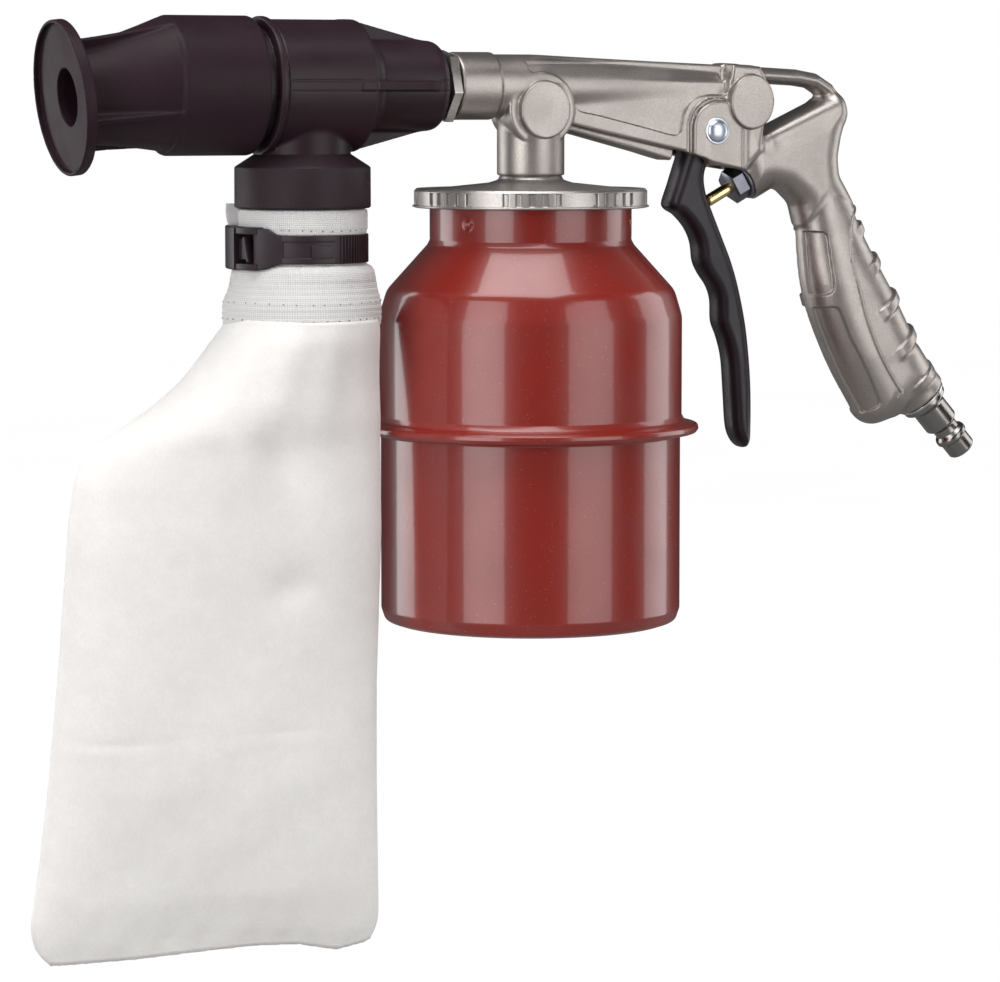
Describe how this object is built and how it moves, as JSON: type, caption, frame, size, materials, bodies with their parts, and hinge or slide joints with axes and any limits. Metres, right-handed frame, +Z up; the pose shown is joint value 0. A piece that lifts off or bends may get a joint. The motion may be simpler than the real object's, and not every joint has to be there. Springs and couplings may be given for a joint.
{
  "type": "spot blasting gun",
  "caption": "Suction-feed spot blasting gun with a screw-on grit cup, a grit recovery head with a rubber spot nozzle, and a felt dust bag strapped below it.",
  "frame": {"origin": "middle of the pistol grip, on the gun's centre plane", "axes": "+Z up, away from the cup's base; the barrel lies along X and blasts towards -X; Y runs across the gun"},
  "size_m": [0.3623, 0.1162, 0.3133],
  "materials": {
    "cast_nickel": "die-cast, nickel plated and satin, fine cast grain",
    "lid_nickel": "turned and satin nickel",
    "plated_steel": "zinc plated, satin",
    "fibre": "fibre washer, matte",
    "tool_steel": "hardened, dull grey",
    "brass": "turned",
    "black_moulding": "glass-filled nylon, satin",
    "black_rough": "glass-filled nylon, rough grain",
    "black_rubber": "moulded, satin",
    "seal_rubber": "nitrile",
    "red_paint": "glossy baked enamel",
    "trigger_plastic": "moulded nylon, satin",
    "pin_steel": "bright zinc plated rivet",
    "gland_steel": "blackened steel",
    "washer_alloy": "plain",
    "plug_steel": "turned and polished, hardened",
    "bag_felt": "needled cotton felt",
    "cuff_knit": "ribbed elastic knit",
    "strap_plastic": "moulded nylon"
  },
  "bodies": {
    "gun": {"gun_body": "cast_nickel", "hex_adaptor": "plated_steel", "head_washer": "fibre", "blast_nozzle": "tool_steel", "air_jet": "brass", "recovery_head": "black_moulding", "bag_spigot": "black_rough", "lid_stud": "plated_steel", "lid_nut": "plated_steel", "suction_tube": "plated_steel", "suction_foot": "brass", "cup_lid": "lid_nickel", "trigger_pin": "pin_steel", "pin_clip": "plated_steel", "gland_nut": "gland_steel", "gland_washer": "gland_steel", "stem_ring": "seal_rubber", "valve_seat": "brass", "valve_spring": "plated_steel", "plug_washer": "washer_alloy", "air_plug": "plug_steel"},
    "spot": {"spot_nozzle": "black_rubber"},
    "trigger": {"trigger": "trigger_plastic"},
    "valve": {"valve_stem": "brass", "valve_disc": "seal_rubber"},
    "seal": {"cup_gasket": "seal_rubber"},
    "cup": {"cup_shell": "red_paint", "cup_base": "red_paint"},
    "bag": {"dust_bag": "bag_felt", "bag_cuff": "cuff_knit", "strap_band": "strap_plastic", "strap_buckle": "strap_plastic"},
    "pawl": {"strap_pawl": "strap_plastic"}
  },
  "joints": [
    {"name": "trigger_pull", "type": "hinge", "parent": "gun", "child": "trigger", "pos_m": [-0.0602, 0, 0.0595], "axis": [0, -1, 0], "range_deg": [0, 11], "stiffness_Nm_per_rad": 4, "springref_deg": -11.46},
    {"name": "valve_slide", "type": "slide", "parent": "gun", "child": "valve", "axis": [0.8829, 0, 0.4695], "range_m": [0, 0.0044]},
    {"name": "nozzle_pull", "type": "slide", "parent": "gun", "child": "spot", "axis": [-1, 0, 0], "range_m": [0, 0.03]},
    {"name": "cup_turn", "type": "hinge", "parent": "gun", "child": "seal", "pos_m": [-0.127, 0, 0.037], "axis": [0, 0, 1], "range_deg": [0, 60]},
    {"name": "cup_drop", "type": "slide", "parent": "seal", "child": "cup", "axis": [0, 0, -1], "range_m": [0, 0.15]},
    {"name": "bag_drop", "type": "slide", "parent": "gun", "child": "bag", "axis": [0, 0, -1], "range_m": [0, 0.035]},
    {"name": "pawl_lift", "type": "hinge", "parent": "bag", "child": "pawl", "pos_m": [-0.23722, 0.00201, 0.021], "axis": [0, 0, -1], "range_deg": [0, 20], "stiffness_Nm_per_rad": 0.05}
  ],
  "couplings": [
    {"joint": "valve_slide", "follows": "trigger_pull", "m_per_rad": 0.0226}
  ]
}
